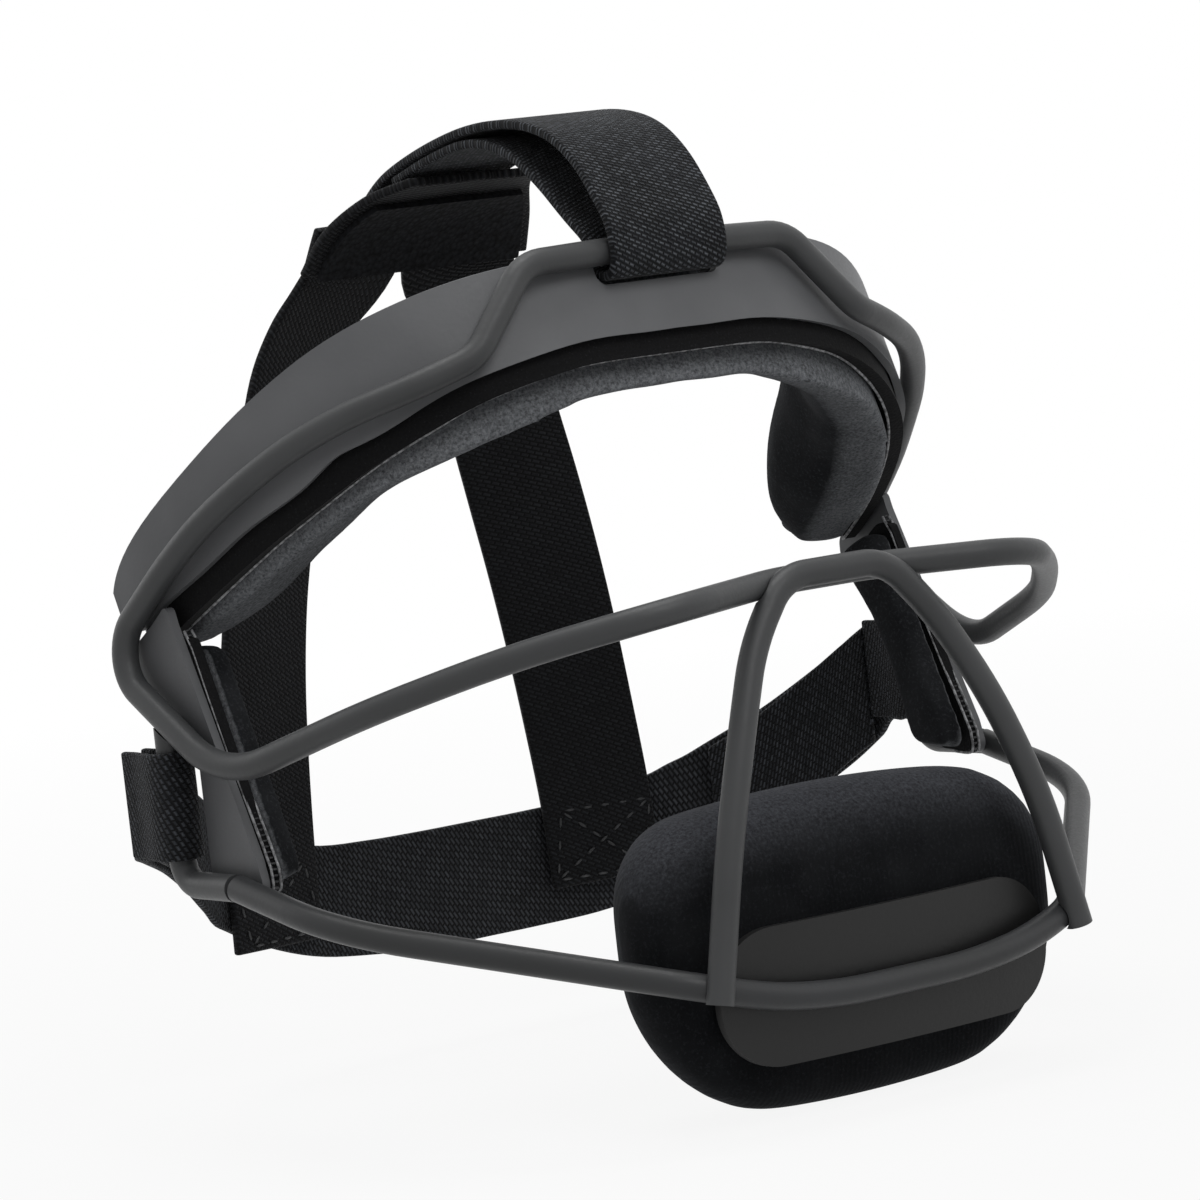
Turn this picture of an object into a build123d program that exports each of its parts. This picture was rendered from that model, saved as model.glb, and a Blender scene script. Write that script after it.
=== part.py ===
from build123d import *
from math import acos, degrees, hypot, radians, tan
import os

# A softball fielder's face guard. A cage of bent steel wire stands in front of the face.
# A curved brow plate and two side plates hang behind the wires, with pads inside them.
# An elastic harness loops round the brow wire and round a strap bar at each temple.
# Millimetres. X runs to the wearer's left, Y to the back of the head, Z up.
# The origin is the centre of the brow wire, under the top strap.

# Driving sizes of the cage
cage_half_width = 86.0
cage_depth = 111.0
chin_drop = 131.0
wire_diameter = 4.9
plate_thickness = 1.6
seat_gap = 0.25
cut_overrun = 20.0

# Driving sizes of the harness
harness_reach = 101.5
strap_width = 25.4
strap_thickness = 1.7
strap_gap = 0.5
strap_arch_height = 25.0
webbing_width = 19.5
webbing_thickness = 1.5

# Driving sizes of the pads
backing_thickness = 2.6
backing_lip = 4.3
forehead_pad_thickness = 9.5
forehead_pad_growth = 10.0
cheek_pad_thickness = 6.0
cheek_backing_thickness = 1.8
chin_pad_width_share = 1.09
chin_pad_height = 55.0
chin_pad_thickness = 28.0
tape_thickness = 1.2
soft_gap = 0.35

wire_radius = wire_diameter / 2
wire_seat = wire_radius + seat_gap
chin_pad_width = chin_pad_width_share * cage_half_width


def at(x_share, y_share, z_share):
    """A point of the cage, in shares of its half width, its depth and its drop."""
    return Vector(x_share * cage_half_width, y_share * cage_depth, z_share * chin_drop)


def mirrored(solid):
    """The same piece on the wearer's right side."""
    return mirror(solid, about=Plane.YZ)


def turn_at(before, corner, after):
    """Angle in radians that a path turns through at a corner."""
    first = (corner - before).normalized()
    second = (after - corner).normalized()
    return acos(max(-1.0, min(1.0, first.dot(second))))


def widest_arc(before, corner, after, run_share=0.45):
    """Radius of the widest tangent arc that a corner's two runs leave room for."""
    shorter_run = min((corner - before).length, (after - corner).length)
    return run_share * shorter_run / tan(turn_at(before, corner, after) / 2)


def bent_wire(points, diameter, wanted_radii):
    """Round wire along straight runs that tangent arcs join."""
    radii = []
    for index in range(1, len(points) - 1):
        widest = widest_arc(*points[index - 1:index + 2])
        wanted = wanted_radii.get(index)
        radii.append(min(widest, wanted) if wanted else widest)
    path = FilletPolyline(*points, radius=radii)
    start = Plane(origin=path @ 0, z_dir=path % 0)
    return sweep(start * Circle(diameter / 2), path=path)


# Brow line. Each station gives a place on the brow plate's outer face, seen from above,
# and heights there: the plate's top edge, its lower edge and the wire on its face.
# The face leans, so its lower edge lies further forward than its top edge.
brow_lean_share = 0.496
pad_edge_share = 0.3
pad_turn_share = 0.707
brow_station_shares = [
    # x, y at wire height, plate top, plate bottom, pad bottom
    (0.000, 0.000, 0.000, -0.115, -0.196),
    (0.140, 0.000, 0.000, -0.115, -0.198),
    (0.250, 0.006, -0.001, -0.118, -0.204),
    (0.330, 0.017, -0.004, -0.126, -0.215),
    (0.475, 0.056, -0.018, -0.148, -0.240),
    (0.581, 0.105, -0.038, -0.176, -0.260),
    (0.698, 0.187, -0.075, -0.218, -0.288),
    (0.785, 0.273, -0.120, -0.262, -0.325),
    (0.852, 0.371, -0.172, -0.306, -0.365),
    (0.898, 0.468, -0.223, -0.348, -0.406),
    (0.932, 0.566, -0.273, -0.389, -0.442),
    (0.957, 0.661, -0.325, -0.427, -0.472),
    (0.966, 0.721, -0.364, -0.450, -0.487),
    (0.971, 0.754, -0.396, -0.440, -0.488),
]
pad_end_shares = (0.972, 0.806, -0.420, -0.450, -0.478)


def brow_plan(stations):
    """Plan points of the stations with the outward normal at each, in millimetres."""
    places = []
    for x, y, *rows in stations:
        places.append(Vector(x * cage_half_width, y * cage_depth + wire_seat))
    line = Spline(*[Vector(-p.X, p.Y) for p in reversed(places[1:])], *places)
    plan = []
    for place in places:
        along = line.tangent_at(place)
        plan.append((place, Vector(along.Y, -along.X)))
    return plan


def brow_point(place, normal, inward, z_share):
    """A point at a height on the leaning brow face, moved inward from it."""
    spot = place - normal * inward
    lean = brow_lean_share * z_share * cage_depth
    return Vector(spot.X, spot.Y + lean, z_share * chin_drop)


def both_sides(points):
    """Stations of the wearer's left, with the right side's in front of them."""
    return [[Vector(-p.X, p.Y, p.Z) for p in row] for row in reversed(points[1:])] + points


def flat_section(corners):
    return make_face(Polyline(*corners, close=True))


def crowned_section(corners, crown):
    """A pad's section: flat on its back, with rounded edges and a bowed inner side."""
    top_out, top_in, low_in, low_out = corners
    inward = (top_in - top_out).normalized()
    down = (low_out - top_out).normalized()
    edge = pad_edge_share * (top_in - top_out).length
    high, low = top_in + down * edge, low_in - down * edge
    top_turn, low_turn = top_in - inward * edge, low_in - inward * edge
    pull = edge * (1 - pad_turn_share)
    top_bend = top_in + down * pull - inward * pull
    low_bend = low_in - down * pull - inward * pull
    crest = (top_in + low_in) / 2 + inward * crown
    return make_face([
        Line(low_out, top_out), Line(top_out, top_turn),
        ThreePointArc(top_turn, top_bend, high), ThreePointArc(high, crest, low),
        ThreePointArc(low, low_bend, low_turn), Line(low_turn, low_out)])


def brow_band(stations, inner, thickness, top_drop_share, low_drop_share, rows, crown=0.0,
              growth=()):
    """A curved band that follows the brow plate, between two distances behind its face."""
    plan = brow_plan(stations)
    sections = []
    for index, ((place, normal), station) in enumerate(zip(plan, stations)):
        top = station[rows[0]] + top_drop_share
        low = station[rows[1]] + low_drop_share
        rear = inner + thickness + (growth[index] if growth else 0)
        corners = [
            brow_point(place, normal, inner, top),
            brow_point(place, normal, rear, top),
            brow_point(place, normal, rear, low),
            brow_point(place, normal, inner, low),
        ]
        sections.append(corners)
    sections = both_sides(sections)
    if crown:
        return loft([crowned_section(corners, crown) for corners in sections])
    return loft([flat_section(corners) for corners in sections])


# Upper ring: brow wire and eye bar, one closed bent wire
ring_brow_shares = [
    # brow station, height of the wire there, spare room for its bends in wire radii
    (0, 0.000, 0.0), (1, 0.000, 0.0), (3, -0.004, 0.5), (4, -0.119, 0.5), (5, -0.147, 0.6),
    (6, -0.177, 0.7), (7, -0.214, 0.6), (8, -0.262, 0.5), (9, -0.309, 0.4),
    (10, -0.362, 0.3),
]
ring_front_shares = [
    (1.008, 0.577, -0.486), (0.999, 0.262, -0.648), (0.885, -0.050, -0.563),
    (0.692, -0.252, -0.505), (0.459, -0.438, -0.464), (0.122, -0.3405, -0.458),
    (0.000, -0.3405, -0.458),
]
jog_radius = 9.0
temple_radius = 10.5
cheek_radius = 24.0
eye_bar_side_radius = 60.0
eye_bar_corner_radius = 15.0


def ring_points():
    plan = brow_plan(brow_station_shares)
    brow = []
    for index, height, spare in ring_brow_shares:
        brow.append(brow_point(*plan[index], -wire_seat - spare * wire_radius, height))
    return brow + [at(*shares) for shares in ring_front_shares]


def ring_half(diameter):
    points = ring_points()
    first_front = len(ring_brow_shares)
    radii = {
        2: jog_radius,
        3: jog_radius,
        first_front: temple_radius,
        first_front + 1: cheek_radius,
        first_front + 2: eye_bar_side_radius,
        first_front + 4: eye_bar_corner_radius,
    }
    return bent_wire(points, diameter, radii)


def make_ring():
    half = ring_half(wire_diameter)
    return half + mirrored(half)


# Chin wire: from one side plate round the chin to the other
chin_wire_shares = [
    (0.000, -0.446, -1.003), (0.163, -0.446, -1.003), (0.326, -0.441, -0.990),
    (0.477, -0.4205, -0.961),
    (0.985, -0.005, -0.847), (0.999, 0.256, -0.797),
]
chin_corner_radius = 17.0
chin_side_radius = 45.0


def chin_half(diameter):
    points = [at(*shares) for shares in chin_wire_shares]
    return bent_wire(points, diameter, {3: chin_corner_radius, 4: chin_side_radius})


def make_chin_wire():
    half = chin_half(wire_diameter)
    return half + mirrored(half)


# Nose arch: a hoop welded across the front of the eye bar and of the chin wire. The welds
# press each wire a little way into the other, so the arch is cut where it lies on them.
arch_shares = [
    (0.000, -0.375, -0.451), (0.1325, -0.375, -0.451), (0.237, -0.389, -0.533),
    (0.323, -0.421, -0.649), (0.4035, -0.4405, -0.794), (0.4690, -0.4455, -0.983),
]


def make_nose_arch():
    half = bent_wire([at(*shares) for shares in arch_shares], wire_diameter, {})
    weld_room = wire_diameter + 2 * seat_gap
    half = half - ring_half(weld_room) - chin_half(weld_room)
    return half + mirrored(half)


# Strap bars: each closes a slot behind a side plate for the side webbing
bar_x_share = 0.9985
bar_y_share = 0.423
bar_low_share = -0.797
bar_bend_radius = 5.0
seam_gap = 0.6
bar_x = bar_x_share * cage_half_width
bar_y = bar_y_share * cage_depth


def make_strap_bar():
    chin_end = at(*chin_wire_shares[-1])
    corner = at(bar_x_share, bar_y_share, bar_low_share)
    top = at(bar_x_share, bar_y_share, (ring_front_shares[0][2] + ring_front_shares[1][2]) / 2)
    start = chin_end + (corner - chin_end).normalized() * (seat_gap + seam_gap)
    bar = bent_wire([start, corner, top], wire_diameter, {1: bar_bend_radius})
    return bar - ring_half(wire_diameter + 2 * seat_gap)


# Brow plate: a leaning curved strip with a slot for the top strap
slot_clearance = 0.8
slot_depth = 6.0
slot_corner_radius = 2.0


def strap_slot():
    """Cutter that opens the middle of the top edge for the top strap."""
    width = strap_width + 2 * slot_clearance
    reach = slot_depth + cut_overrun
    outline = RectangleRounded(width, reach, slot_corner_radius)
    placed = Plane.XZ * Pos(0, (cut_overrun - slot_depth) / 2) * outline
    return extrude(placed, amount=cut_overrun, both=True)


def make_brow_plate():
    band = brow_band(brow_station_shares, 0.0, plate_thickness, 0.0, 0.0, (2, 3))
    return band - strap_slot()


# Side plates: flat strips from the temples down to the chin wire
side_plate_front_shares = [
    (0.474, -0.441), (0.423, -0.412), (0.412, -0.440), (0.232, -0.760), (0.215, -0.812),
]
side_plate_rear_shares = [
    (0.376, -0.800), (0.376, -0.600), (0.450, -0.560), (0.560, -0.520), (0.560, -0.482),
]
side_plate_corner_radius = 3.0
side_plate_face = bar_x - wire_seat


def side_outline(shares, radius):
    """A rounded outline seen from the side, on the plane through the origin."""
    points = [Vector(y * cage_depth, z * chin_drop) for y, z in shares]
    radii = []
    for index, corner in enumerate(points):
        after = points[(index + 1) % len(points)]
        radii.append(min(radius, widest_arc(points[index - 1], corner, after)))
    return Plane.YZ * make_face(FilletPolyline(*points, radius=radii, close=True))


def side_slab(shares, radius, outer_face, thickness):
    """A flat piece beside the cheek, between two distances from the middle plane."""
    outline = Pos(outer_face - thickness, 0, 0) * side_outline(shares, radius)
    return extrude(outline, amount=thickness)


def make_side_plate():
    shares = side_plate_front_shares + side_plate_rear_shares
    return side_slab(shares, side_plate_corner_radius, side_plate_face, plate_thickness)


# Chin plate: a bowed rounded plate between the chin wire and the chin pad
chin_plate_width = 0.849 * cage_half_width
chin_plate_height = 24.4
chin_plate_corner = 11.5
chin_plate_bow = 2.6
chin_plate_z_share = -0.994
chin_face_y = chin_wire_shares[0][1] * cage_depth + wire_seat


def chin_band(inner, thickness, width, height, corner):
    """A bowed rounded plate, between two distances behind the chin plate's front."""
    reach = chin_plate_width / 2 + cut_overrun
    front_y = chin_face_y + inner
    side_y = front_y + chin_plate_bow * (2 * reach / chin_plate_width) ** 2
    outer = ThreePointArc((-reach, side_y), (0, front_y), (reach, side_y))
    back = ThreePointArc(
        (reach, side_y + thickness), (0, front_y + thickness), (-reach, side_y + thickness))
    ends = [Line(outer @ 1, back @ 0), Line(back @ 1, outer @ 0)]
    middle_z = chin_plate_z_share * chin_drop
    band = extrude(make_face([outer, back] + ends), amount=height / 2 + cut_overrun, both=True)
    outline = Plane.XZ * Pos(0, middle_z) * RectangleRounded(width, height, corner)
    return Pos(0, 0, middle_z) * band & extrude(outline, amount=2 * cage_depth, both=True)


def make_chin_plate():
    return chin_band(
        0.0, plate_thickness, chin_plate_width, chin_plate_height, chin_plate_corner)


# Chin pad: a crowned cup with drawn-in sides, hollowed a little for the chin
chin_pad_section_shares = [
    # depth, width, height, rise of the middle
    (0.00, 0.80, 0.66, -0.050),
    (0.10, 0.93, 0.87, -0.030),
    (0.28, 1.00, 0.98, -0.010),
    (0.46, 0.99, 1.00, 0.000),
    (0.75, 0.90, 0.93, 0.020),
    (1.00, 0.74, 0.79, 0.030),
]
chin_pad_top_corner_share = 0.29
chin_pad_low_corner_share = 0.50
chin_cup_share = 0.20
chin_cup_chord_share = 0.36
chin_pad_z_share = -0.954
patch_back_y = chin_face_y + plate_thickness + seat_gap + tape_thickness
chin_pad_front_y = patch_back_y + chin_plate_bow / 2 + soft_gap


def chin_outline(width, height):
    """A chin pad section: a flat top with rounded corners and a fuller turn below."""
    half, tall = width / 2, height / 2
    points = [
        Vector(half, tall), Vector(half, -tall), Vector(-half, -tall), Vector(-half, tall)]
    low, top = chin_pad_low_corner_share * height, chin_pad_top_corner_share * height
    return make_face(FilletPolyline(*points, radius=[low, top, top, low], close=True))


def make_chin_pad():
    sections = []
    for depth, width, height, rise in chin_pad_section_shares:
        tall = height * chin_pad_height
        middle = chin_pad_z_share * chin_drop + rise * chin_pad_height
        where = Plane(
            origin=(0, chin_pad_front_y + depth * chin_pad_thickness, middle),
            x_dir=(1, 0, 0), z_dir=(0, 1, 0))
        sections.append(where * chin_outline(width * chin_pad_width, tall))
    body = loft(sections)
    depth = chin_cup_share * chin_pad_thickness
    half_chord = chin_pad_width * chin_cup_chord_share
    cup_radius = (half_chord ** 2 + depth ** 2) / (2 * depth)
    rear_y = chin_pad_front_y + chin_pad_thickness
    cup = Pos(0, rear_y + cup_radius - depth, chin_pad_z_share * chin_drop) * Sphere(cup_radius)
    return body - cup


def make_chin_patch():
    """Hook patch that holds the chin pad to its plate."""
    width = chin_plate_width - 2 * chin_plate_corner
    height = chin_plate_height - chin_plate_corner
    return chin_band(
        plate_thickness + seat_gap, tape_thickness, width, height, chin_plate_corner / 4)


# Forehead pad and the stiff backing whose lip shows under the plate
pad_top_drop_share = -0.012
pad_growth_shares = [
    0, 0, 0.06, 0.16, 0.30, 0.45, 0.58, 0.70, 0.82, 0.92, 0.92, 0.75, 0.45, 0.10]


def make_forehead_backing():
    lip = -backing_lip / chin_drop
    band = brow_band(
        brow_station_shares[:-1], plate_thickness + soft_gap, backing_thickness,
        pad_top_drop_share, lip, (2, 3))
    return band - strap_slot()


def make_forehead_pad():
    stations = brow_station_shares[:-1] + [pad_end_shares]
    inner = plate_thickness + backing_thickness + 2 * soft_gap
    crown = forehead_pad_thickness / 5
    growth = [share * forehead_pad_growth for share in pad_growth_shares]
    return brow_band(
        stations, inner, forehead_pad_thickness - crown, pad_top_drop_share, 0.0, (2, 4), crown,
        growth)


# Cheek pads: foam on a thin stiff backing, both fixed inside the side plates
cheek_backing_shares = [
    (0.430, -0.480), (0.228, -0.765), (0.220, -0.805), (0.310, -0.800), (0.365, -0.640),
    (0.470, -0.515),
]
cheek_pad_shares = [
    (0.422, -0.484), (0.222, -0.765), (0.222, -0.803), (0.330, -0.798), (0.390, -0.680),
    (0.505, -0.528),
]
cheek_corner_radius = 4.0
cheek_backing_corner = 2.5
cheek_backing_face = side_plate_face - plate_thickness - seat_gap
cheek_pad_face = cheek_backing_face - cheek_backing_thickness - soft_gap
cheek_pad_taper = 12.0
cheek_rim_share = 0.3


def make_cheek_backing():
    return side_slab(
        cheek_backing_shares, cheek_backing_corner, cheek_backing_face, cheek_backing_thickness)


def make_cheek_pad():
    outline = Pos(cheek_pad_face, 0, 0) * side_outline(cheek_pad_shares, cheek_corner_radius)
    pad = extrude(outline, amount=-cheek_pad_thickness, taper=cheek_pad_taper)
    rim = pad.faces().sort_by(Axis.X)[0].edges()
    return fillet(rim, cheek_pad_thickness * cheek_rim_share)


# Straps: flat ribbons lofted through stations along their run
def strap_frames(stations):
    """Centre, side and outer face direction at each station of a strap."""
    centres = [centre for centre, outward in stations]
    frames = []
    for index, (centre, outward) in enumerate(stations):
        before = centres[max(index - 1, 0)]
        after = centres[min(index + 1, len(centres) - 1)]
        along = (after - before).normalized()
        side = along.cross(outward).normalized()
        frames.append((centre, side, side.cross(along).normalized()))
    return frames


def ribbon(stations, widths, thickness):
    """A flat strap through stations that each say which way its outer face looks."""
    sections = []
    for (centre, side, face), width in zip(strap_frames(stations), widths):
        across, through = side * (width / 2), face * (thickness / 2)
        sections.append(flat_section([
            centre + across + through, centre - across + through,
            centre - across - through, centre + across - through]))
    return loft(sections)


def upright_ribbon(centres, widths, thickness, inward=0.0):
    """A strap that stands on edge along a run, moved inward from it by a distance."""
    sections = []
    for index, (centre, width) in enumerate(zip(centres, widths)):
        before = centres[max(index - 1, 0)]
        after = centres[min(index + 1, len(centres) - 1)]
        along = after - before
        level = Vector(along.X, along.Y).length
        outward = Vector(along.Y, -along.X).normalized()
        place = centre - outward * inward
        tall = Vector(0, 0, width / 2 * along.length / level)
        through = outward * (thickness / 2)
        sections.append(flat_section([
            place + tall + through, place - tall + through,
            place - tall - through, place + tall - through]))
    return loft(sections)


def layered(stations, distance):
    """The same run, moved towards its outer side by a distance."""
    return [(c + face * distance, face) for c, side, face in strap_frames(stations)]


# Top strap: wraps the brow wire, runs up and back, and returns under itself
top_outer_shares = [
    # reach behind the wire, height over it
    (-0.004, 0.36), (0.050, 0.66), (0.127, 0.89), (0.238, 1.00), (0.380, 1.00),
    (0.520, 0.90), (0.645, 0.76),
]
top_inner_shares = [(0.096, 0.26), (0.176, 0.56), (0.262, 0.80)]
layer_pitch = strap_thickness + strap_gap
wrap_radius = wire_radius + seat_gap + strap_thickness / 2


def make_top_strap():
    outer = [
        Vector(y * harness_reach, z * strap_arch_height) for y, z in reversed(top_outer_shares)]
    inner = [Vector(y * harness_reach, z * strap_arch_height) for y, z in top_inner_shares]
    for y, z in top_outer_shares[4:]:
        inner.append(Vector(y * harness_reach, z * strap_arch_height - layer_pitch))
    under = brow_wire_z - wrap_radius
    wrap = [
        Vector(brow_wire_y - wrap_radius, brow_wire_z + wrap_radius),
        Vector(brow_wire_y - wrap_radius, under),
        Vector(brow_wire_y + wrap_radius, under),
        Vector(brow_wire_y + wrap_radius, brow_wire_z + wrap_radius / 2),
    ]
    points = outer + wrap + inner
    radii = []
    for index in range(1, len(points) - 1):
        radii.append(widest_arc(*points[index - 1:index + 2]))
    profile = trace(FilletPolyline(*points, radius=radii), strap_thickness)
    return extrude(Plane.YZ * profile, amount=strap_width / 2, both=True)


brow_wire = ring_points()[0]
brow_wire_y = brow_wire.Y
brow_wire_z = brow_wire.Z


# Crown yoke: widens from the top strap to the two risers, with a loop patch under it
yoke_shares = [
    # reach behind the wire, height over it, width in strap widths
    (0.560, 0.83, 1.12), (0.650, 0.73, 1.50), (0.730, 0.51, 1.88), (0.788, 0.22, 2.06),
]
yoke_thickness = 1.8
patch_inset_share = 0.88


def yoke_run():
    stations = []
    for y, z, width in yoke_shares:
        centre = Vector(0, y * harness_reach, z * strap_arch_height - 2 * layer_pitch)
        stations.append((centre, Vector(0, 1, 1)))
    return stations


def make_crown_yoke():
    widths = [width * strap_width for y, z, width in yoke_shares]
    return ribbon(yoke_run(), widths, yoke_thickness)


def make_crown_patch():
    widths = [width * strap_width * patch_inset_share for y, z, width in yoke_shares]
    drop = yoke_thickness / 2 + seat_gap + tape_thickness / 2
    return ribbon(layered(yoke_run(), -drop)[1:], widths[1:], tape_thickness)


# Riser straps: from the yoke down to the back strap, one each side of the hair opening
riser_shares = [
    # across in half widths, reach, height in drops, outward across, back and up
    (0.158, 0.757, 0.074, 0.04, 0.69, 0.72), (0.166, 0.826, 0.0065, 0.12, 0.79, 0.61),
    (0.198, 0.868, -0.042, 0.20, 0.84, 0.52), (0.236, 0.899, -0.090, 0.26, 0.90, 0.36),
    (0.272, 0.919, -0.153, 0.29, 0.97, 0.20), (0.305, 0.931, -0.244, 0.29, 0.96, 0.10),
    (0.343, 0.938, -0.351, 0.30, 0.95, 0.03), (0.378, 0.944, -0.458, 0.31, 0.95, 0.00),
    (0.407, 0.946, -0.573, 0.29, 0.96, 0.00), (0.430, 0.944, -0.702, 0.26, 0.97, 0.00),
    (0.448, 0.939, -0.840, 0.24, 0.97, 0.00), (0.455, 0.937, -0.968, 0.24, 0.97, 0.00),
]
riser_width_shares = [.80, .80, .82, .84, .87, .90, .92, .92, .92, .92, .92, .92]


def make_riser():
    stations = []
    for x, y, z, *outward in riser_shares:
        centre = Vector(x * cage_half_width, y * harness_reach, z * chin_drop)
        stations.append((centre, Vector(*outward)))
    widths = [share * strap_width for share in riser_width_shares]
    return ribbon(stations, widths, strap_thickness)


# Back strap: level behind the head, then forward and up to the strap bars. Its left half bows
# outwards, and its right half, which hangs looser, runs straighter and higher.
back_middle_share = (0.000, 1.000, -0.936, 0.92)
back_left_shares = [
    # across in bar widths, reach past the bar, height in drops, width in strap widths
    (0.150, 1.000, -0.936, 0.92), (0.300, 0.990, -0.935, 0.92), (0.450, 0.955, -0.930, 0.92),
    (0.590, 0.880, -0.912, 0.90), (0.660, 0.825, -0.895, 0.88), (0.730, 0.755, -0.872, 0.85),
    (0.850, 0.600, -0.820, 0.81), (0.945, 0.430, -0.762, 0.78), (0.998, 0.275, -0.712, 0.77),
    (1.000, 0.190, -0.694, 0.77), (1.000, 0.110, -0.694, 0.77),
]
back_right_shares = [
    (0.150, 1.000, -0.931, 0.89), (0.300, 0.992, -0.920, 0.85), (0.450, 0.955, -0.888, 0.81),
    (0.590, 0.872, -0.842, 0.79), (0.660, 0.798, -0.806, 0.77), (0.733, 0.706, -0.770, 0.77),
    (0.820, 0.594, -0.736, 0.77), (0.908, 0.480, -0.712, 0.77), (0.968, 0.374, -0.700, 0.77),
    (0.998, 0.275, -0.695, 0.77), (1.000, 0.190, -0.694, 0.77), (1.000, 0.110, -0.694, 0.77),
]


def back_point(across, reach, height):
    y = bar_y + reach * (harness_reach - bar_y)
    return Vector(across * bar_x, y, height * chin_drop)


def back_half(shares, side):
    """Centres of one half of the back strap, from its strap bar inwards."""
    return [back_point(side * x, reach, z) for x, reach, z, width in reversed(shares)]


def make_back_strap():
    left = back_half(back_left_shares, 1)
    right = back_half(back_right_shares, -1)
    run = left + [back_point(*back_middle_share[:3])] + list(reversed(right))
    widths = [share[-1] * strap_width for share in reversed(back_left_shares)]
    widths.append(back_middle_share[-1] * strap_width)
    widths.extend(share[-1] * strap_width for share in back_right_shares)
    return upright_ribbon(run, widths, strap_thickness)


# Side webbing: wraps a strap bar and grips the end of the back strap
side_loop_leg = 13.0
side_loop_pinch = 9.0
side_loop_top_share = -0.613
webbing_pitch = strap_thickness / 2 + strap_gap + webbing_thickness / 2


def make_side_loop():
    around = wire_radius + seat_gap + webbing_thickness / 2
    pinch_y = bar_y + side_loop_pinch
    end_y = bar_y + side_loop_leg
    wrap = ThreePointArc(
        (bar_x + around, bar_y), (bar_x, bar_y - around), (bar_x - around, bar_y))
    runs = []
    for side in (1, -1):
        start = (bar_x + side * around, bar_y)
        narrow = (bar_x + side * webbing_pitch, pinch_y)
        runs.append(Spline(start, narrow, tangents=[(0, 1), (0, 1)]))
        runs.append(Line(narrow, (bar_x + side * webbing_pitch, end_y)))
    profile = trace([wrap] + runs, webbing_thickness)
    top = side_loop_top_share * chin_drop
    return Pos(0, 0, top) * extrude(profile, amount=-webbing_width)


# Pull tabs: the free webbing ends, gripped by the back strap's inner face
tab_reach = 29.0
tab_stand_off = 0.7


def make_pull_tab(shares):
    """The left tab for the left half of the back strap, and the same form for the other."""
    root_y = bar_y + side_loop_leg + 3 * soft_gap
    end_y = root_y + tab_reach
    run = [c for c in back_half(shares, 1) if root_y + soft_gap < c.Y < end_y]
    run.insert(0, Vector(bar_x, root_y, run[0].Z))
    inward = webbing_pitch + tab_stand_off
    return upright_ribbon(run, [webbing_width] * len(run), webbing_thickness, inward)


# Build and write every piece
def build_pieces():
    pieces = {
        "upper_ring_wire": make_ring(),
        "chin_wire": make_chin_wire(),
        "nose_arch_wire": make_nose_arch(),
        "brow_plate": make_brow_plate(),
        "chin_plate": make_chin_plate(),
        "forehead_backing": make_forehead_backing(),
        "forehead_pad": make_forehead_pad(),
        "chin_pad": make_chin_pad(),
        "chin_hook_patch": make_chin_patch(),
        "top_strap": make_top_strap(),
        "crown_yoke": make_crown_yoke(),
        "crown_loop_patch": make_crown_patch(),
        "back_strap": make_back_strap(),
        "left_pull_tab": make_pull_tab(back_left_shares),
        "right_pull_tab": mirrored(make_pull_tab(back_right_shares)),
    }
    sided = {
        "strap_bar": make_strap_bar(),
        "side_plate": make_side_plate(),
        "cheek_backing": make_cheek_backing(),
        "cheek_pad": make_cheek_pad(),
        "riser_strap": make_riser(),
        "side_loop": make_side_loop(),
    }
    for name, left in sided.items():
        pieces["left_" + name] = left
        pieces["right_" + name] = mirrored(left)
    return pieces


os.makedirs("parts", exist_ok=True)
for name, piece in build_pieces().items():
    piece.label = name
    export_step(piece, "parts/" + name + ".step")
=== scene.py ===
from math import radians

import bmesh
import bpy
from mathutils import Matrix, Vector, noise


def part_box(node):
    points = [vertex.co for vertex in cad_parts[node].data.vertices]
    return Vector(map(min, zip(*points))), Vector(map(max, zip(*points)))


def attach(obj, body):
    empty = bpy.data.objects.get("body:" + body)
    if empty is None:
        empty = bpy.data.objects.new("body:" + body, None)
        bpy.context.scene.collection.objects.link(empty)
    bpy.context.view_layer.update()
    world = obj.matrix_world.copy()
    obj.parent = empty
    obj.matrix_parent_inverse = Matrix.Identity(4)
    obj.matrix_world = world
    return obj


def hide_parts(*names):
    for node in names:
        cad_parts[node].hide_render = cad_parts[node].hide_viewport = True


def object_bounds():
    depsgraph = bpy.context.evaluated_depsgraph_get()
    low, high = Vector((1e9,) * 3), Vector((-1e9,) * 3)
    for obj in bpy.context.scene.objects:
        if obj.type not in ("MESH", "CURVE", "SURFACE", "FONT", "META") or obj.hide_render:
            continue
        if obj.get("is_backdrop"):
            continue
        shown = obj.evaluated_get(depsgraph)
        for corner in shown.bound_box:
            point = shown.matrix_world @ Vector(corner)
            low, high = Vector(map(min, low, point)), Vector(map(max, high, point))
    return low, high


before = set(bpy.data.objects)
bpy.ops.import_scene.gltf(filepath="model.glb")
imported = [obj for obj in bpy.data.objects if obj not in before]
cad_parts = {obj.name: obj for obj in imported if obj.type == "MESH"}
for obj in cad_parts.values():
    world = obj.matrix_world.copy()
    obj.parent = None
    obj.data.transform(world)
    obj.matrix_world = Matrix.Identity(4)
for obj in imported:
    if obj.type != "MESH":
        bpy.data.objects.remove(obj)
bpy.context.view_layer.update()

bl_info = {
    "name": "Softball Face Guard",
    "version": (1, 0, 0),
    "blender": (4, 5, 0),
    "location": "View3D > Sidebar > Face Guard",
    "description": "Dresses a softball face guard: dipped wires and plates, pads and harness",
    "category": "Object",
}

MM = 0.001
HEAD_MIDDLE = (0, 55, 0)  # in mm
SIDES = (("left", 1), ("right", -1))


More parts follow.
